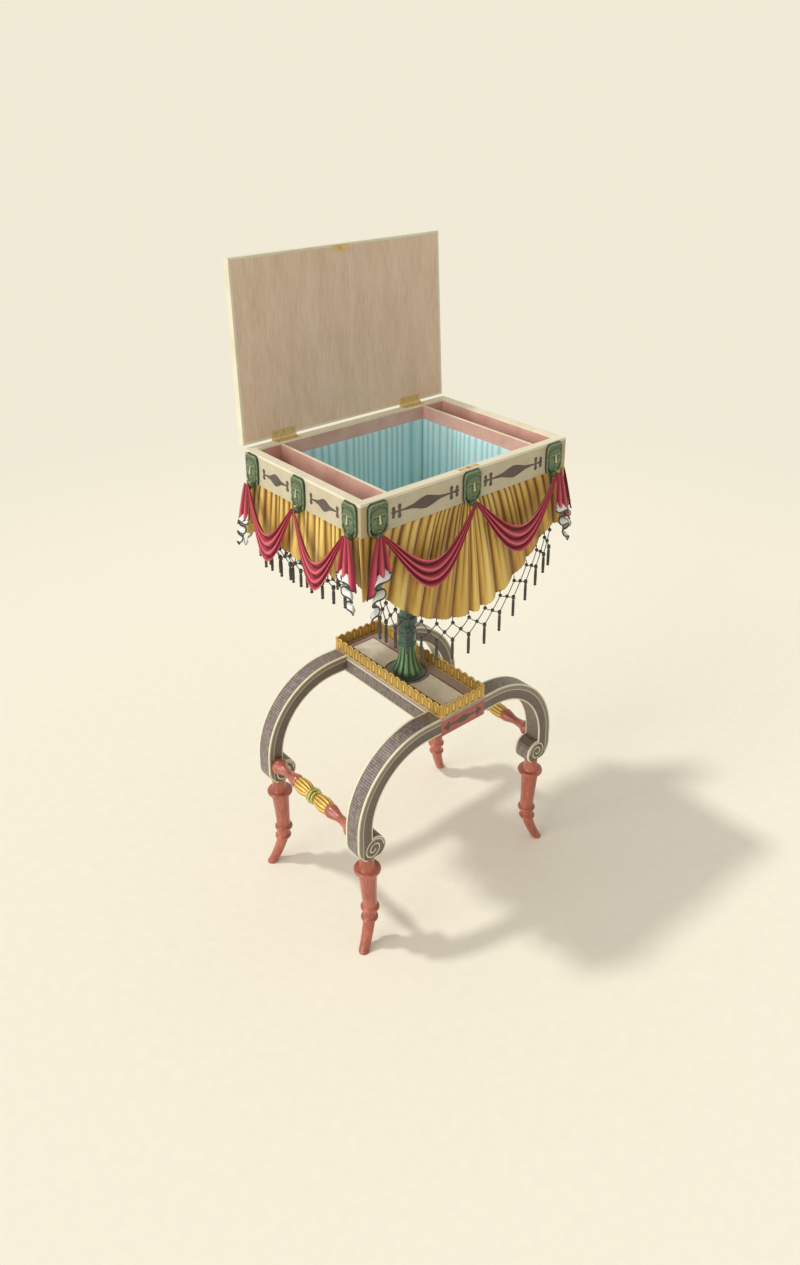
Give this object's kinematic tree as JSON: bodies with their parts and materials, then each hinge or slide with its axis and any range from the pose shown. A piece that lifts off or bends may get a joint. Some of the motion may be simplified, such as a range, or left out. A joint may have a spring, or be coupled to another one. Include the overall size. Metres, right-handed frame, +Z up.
{
  "type": "work table",
  "caption": "Lady's work table: lidded box with silk-lined well and draped swags on a column, over a galleried tray on curule arches and turned legs.",
  "frame": {"origin": "on the floor under the middle of the table's overall box, which lies within 6 mm of the column's axis", "axes": "+Z up, -Y to the front with the lock, +X to the right seen from the front; the hinges are at +Y"},
  "size_m": [0.4356, 0.3219, 1.0135],
  "materials": {
    "painted_rail": "satinwood-coloured varnish",
    "pale_edging": "polished holly",
    "pink_paper": "matt lining paper",
    "blue_silk": "pleated silk",
    "carcass": "plain deal",
    "lock_brass": "lacquered brass",
    "lid_veneer": "satin varnish",
    "bronzed": "green bronzing",
    "dark_inlay": "stained inlay",
    "yellow_silk": "silk",
    "crimson_silk": "silk",
    "dark_cord": "netted cord and beads",
    "green_paint": "bronze-green paint",
    "leaf_green": "green paint",
    "iron": "wrought",
    "tray_veneer": "satin varnish",
    "cream_panel": "satin varnish",
    "gilt": "oil gilding",
    "terracotta": "painted",
    "crossbanding": "satin varnish",
    "arch_wood": "painted grey-brown",
    "stringing": "pale inlay",
    "leg_wood": "terracotta paint",
    "stretcher_paint": "terracotta paint",
    "ring_gold": "green-gold paint"
  },
  "bodies": {
    "table": {"front_rail": "painted_rail", "back_rail": "painted_rail", "left_rail": "painted_rail", "right_rail": "painted_rail", "corner_posts": "painted_rail", "rim_edging": "pale_edging", "inner_linings": "pink_paper", "left_partition": "pink_paper", "right_partition": "pink_paper", "well_walls": "carcass", "well_floor": "carcass", "till_floors": "pink_paper", "well_lining": "blue_silk", "lock_case": "lock_brass", "lock_plate": "lock_brass", "hinge_rim_leaves": "lock_brass", "hinge_pins": "lock_brass", "masks_long": "bronzed", "masks_short": "bronzed", "inlays": "dark_inlay", "front_drape": "yellow_silk", "back_drape": "yellow_silk", "left_drape": "yellow_silk", "right_drape": "yellow_silk", "swags_long": "crimson_silk", "swags_short": "crimson_silk", "tails_long": "crimson_silk", "tails_short": "crimson_silk", "nets_long": "dark_cord", "nets_short": "dark_cord", "tassels": "dark_cord", "column_cap": "green_paint", "cap_screws": "iron", "column_shaft": "green_paint", "column_foot": "leaf_green", "column_rod": "iron", "tray_board": "tray_veneer", "tray_panels": "cream_panel", "gallery": "gilt", "frieze_ends": "terracotta", "frieze_sides": "crossbanding", "front_left_arch": "arch_wood", "front_right_arch": "arch_wood", "back_left_arch": "arch_wood", "back_right_arch": "arch_wood", "arch_strings": "stringing", "front_left_leg": "leg_wood", "front_right_leg": "leg_wood", "back_left_leg": "leg_wood", "back_right_leg": "leg_wood", "left_stretcher": "stretcher_paint", "right_stretcher": "stretcher_paint", "stretcher_gilding": "gilt", "stretcher_rings": "ring_gold"},
    "lid": {"hinge_lid_leaves": "lock_brass", "lid_board": "lid_veneer", "lid_edging": "pale_edging", "lid_keeper": "lock_brass"},
    "lock_bolt": {"lock_bolt": "lock_brass"}
  },
  "joints": [
    {"name": "lid_hinge", "type": "hinge", "parent": "table", "child": "lid", "pos_m": [0, 0.1375, 0.7414], "axis": [1, 0, 0], "range_deg": [0, 93]},
    {"name": "bolt_slide", "type": "slide", "parent": "table", "child": "lock_bolt", "axis": [-1, 0, 0], "range_m": [0, 0.006]}
  ]
}
